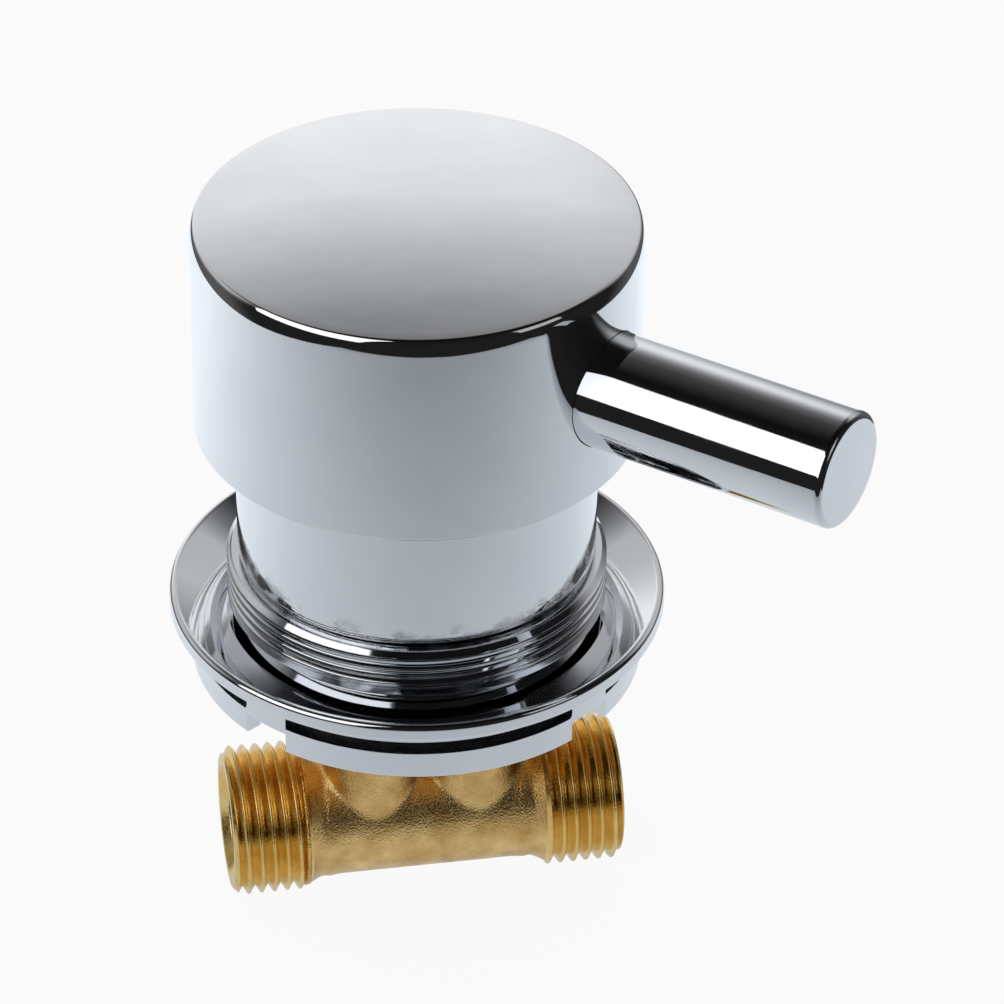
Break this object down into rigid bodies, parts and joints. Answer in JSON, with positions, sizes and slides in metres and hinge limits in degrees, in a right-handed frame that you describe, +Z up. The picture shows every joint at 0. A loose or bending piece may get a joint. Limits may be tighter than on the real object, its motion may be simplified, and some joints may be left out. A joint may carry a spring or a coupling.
{
  "type": "single-lever shower mixer valve",
  "caption": "Panel-mounted single-lever shower mixer valve: cast brass body with male pipe ends, threaded collar, slotted flange ring and a chromed cap with a round side lever.",
  "frame": {"origin": "handle's axis at the face of the panel, where the flange ring's lugs bear", "axes": "+Z up the handle's axis away from the panel, +X along the inlet tube, -Y towards the user when the lever is at mid travel"},
  "size_m": [0.0875, 0.0831, 0.1059],
  "materials": {
    "cast_brass": "fine sand-cast skin with machined pipe threads",
    "polished_chrome": "mirror chrome plating",
    "turned_brass": "bright turned",
    "black_rubber": "matt moulded rubber",
    "white_plastic": "moulded",
    "grey_plastic": "moulded",
    "pale_ceramic": "lapped",
    "steel": "machined"
  },
  "bodies": {
    "valve": {"valve_body": "cast_brass", "flange_ring": "polished_chrome", "panel_gasket": "black_rubber", "threaded_collar": "polished_chrome", "collar_seal": "black_rubber", "neck_sleeve": "polished_chrome", "cartridge_base": "white_plastic", "port_seals": "black_rubber", "disc_seal": "black_rubber", "fixed_disc": "pale_ceramic", "cartridge_housing": "white_plastic", "glide_ring": "white_plastic", "limit_ring": "grey_plastic", "cartridge_nut": "turned_brass"},
    "rotor": {"rotor": "grey_plastic", "pivot_pin": "steel"},
    "handle": {"handle_cap": "polished_chrome", "lever_bar": "polished_chrome", "lever_stud": "steel", "stem": "turned_brass", "grub_screw": "steel", "index_plug": "grey_plastic"},
    "disc": {"disc_carrier": "white_plastic", "moving_disc": "pale_ceramic"}
  },
  "joints": [
    {"name": "handle_turn", "type": "hinge", "parent": "valve", "child": "rotor", "pos_m": [0, 0, 0.0306], "axis": [0, 0, 1], "range_deg": [-96, 0]},
    {"name": "handle_lift", "type": "hinge", "parent": "rotor", "child": "handle", "pos_m": [0, 0, 0.0306], "axis": [-0.6678, -0.7443, 0], "range_deg": [0, 20]},
    {"name": "disc_slide", "type": "slide", "parent": "rotor", "child": "disc", "axis": [0.7443, -0.6678, 0], "range_m": [-0.0001, 0.0026]}
  ],
  "couplings": [
    {"joint": "disc_slide", "follows": "handle_lift", "m_per_rad": 0.0070547}
  ]
}
